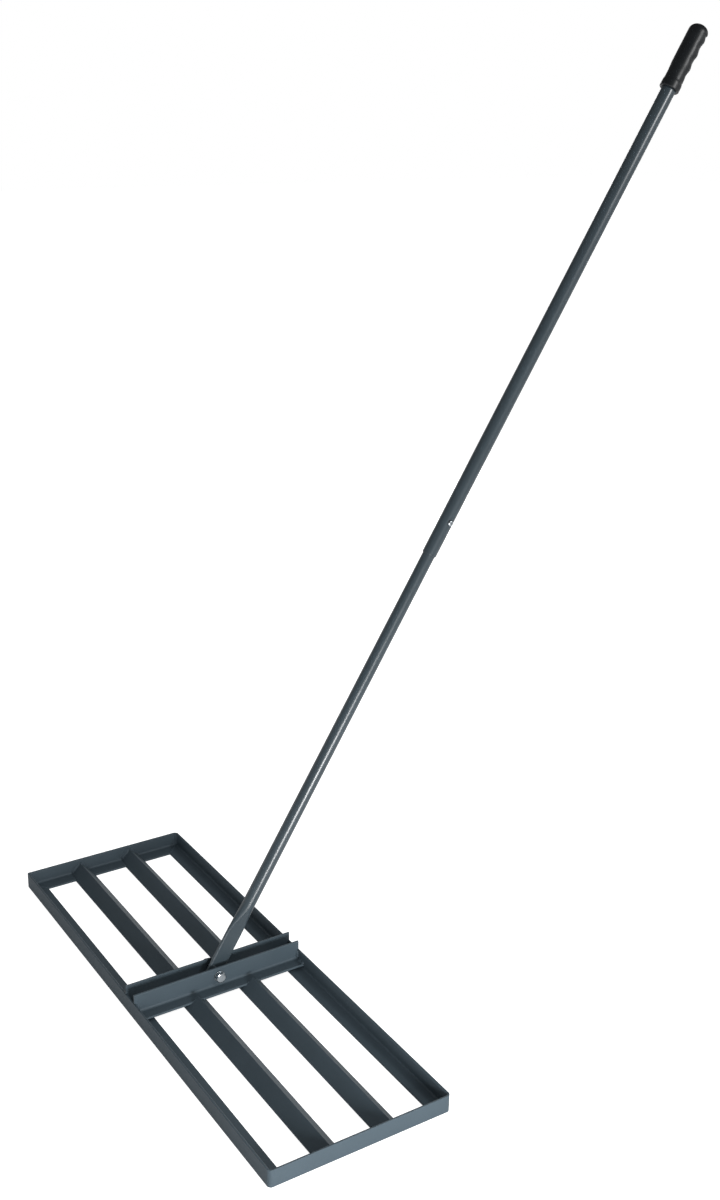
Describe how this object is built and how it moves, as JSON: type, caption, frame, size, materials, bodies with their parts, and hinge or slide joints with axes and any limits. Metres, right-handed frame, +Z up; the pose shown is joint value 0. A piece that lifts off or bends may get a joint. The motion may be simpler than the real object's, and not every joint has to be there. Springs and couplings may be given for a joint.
{
  "type": "lawn leveling rake",
  "caption": "Lawn leveling rake: flat welded angle-steel frame with inner ridge bars, a slotted cross bracket and a pivoting tube handle with a finger-grooved grip.",
  "frame": {"origin": "on the ground, in the middle of the front long rail's underside, the rail that the handle leans away from; the head's centre is 115 mm further along +Y", "axes": "+X along the head's length, +Y across the head towards the side that the handle leans to, +Z up"},
  "size_m": [0.762, 0.8998, 1.2642],
  "materials": {
    "head_coating": "satin slate-grey powder coat",
    "handle_coating": "semi-gloss slate-grey powder coat",
    "zinc_plate": "bright zinc plate",
    "grip_rubber": "satin black"
  },
  "bodies": {
    "head": {"left_rail": "head_coating", "right_rail": "head_coating", "near_end_rail": "head_coating", "far_end_rail": "head_coating", "ridge_bar_left": "head_coating", "ridge_bar_right": "head_coating", "bracket_front_angle": "head_coating", "bracket_rear_angle": "head_coating", "pivot_bolt": "zinc_plate", "pivot_lock_nut": "zinc_plate", "washer_front": "zinc_plate", "washer_rear": "zinc_plate", "spacer_front": "zinc_plate", "spacer_rear": "zinc_plate"},
    "handle": {"lower_tube": "handle_coating", "upper_tube": "handle_coating", "joint_screw": "zinc_plate", "grip": "grip_rubber"}
  },
  "joints": [
    {"name": "handle_pivot", "type": "hinge", "parent": "head", "child": "handle", "pos_m": [0, 0.115, 0.0245], "axis": [1, 0, 0], "range_deg": [-53, 116]}
  ]
}
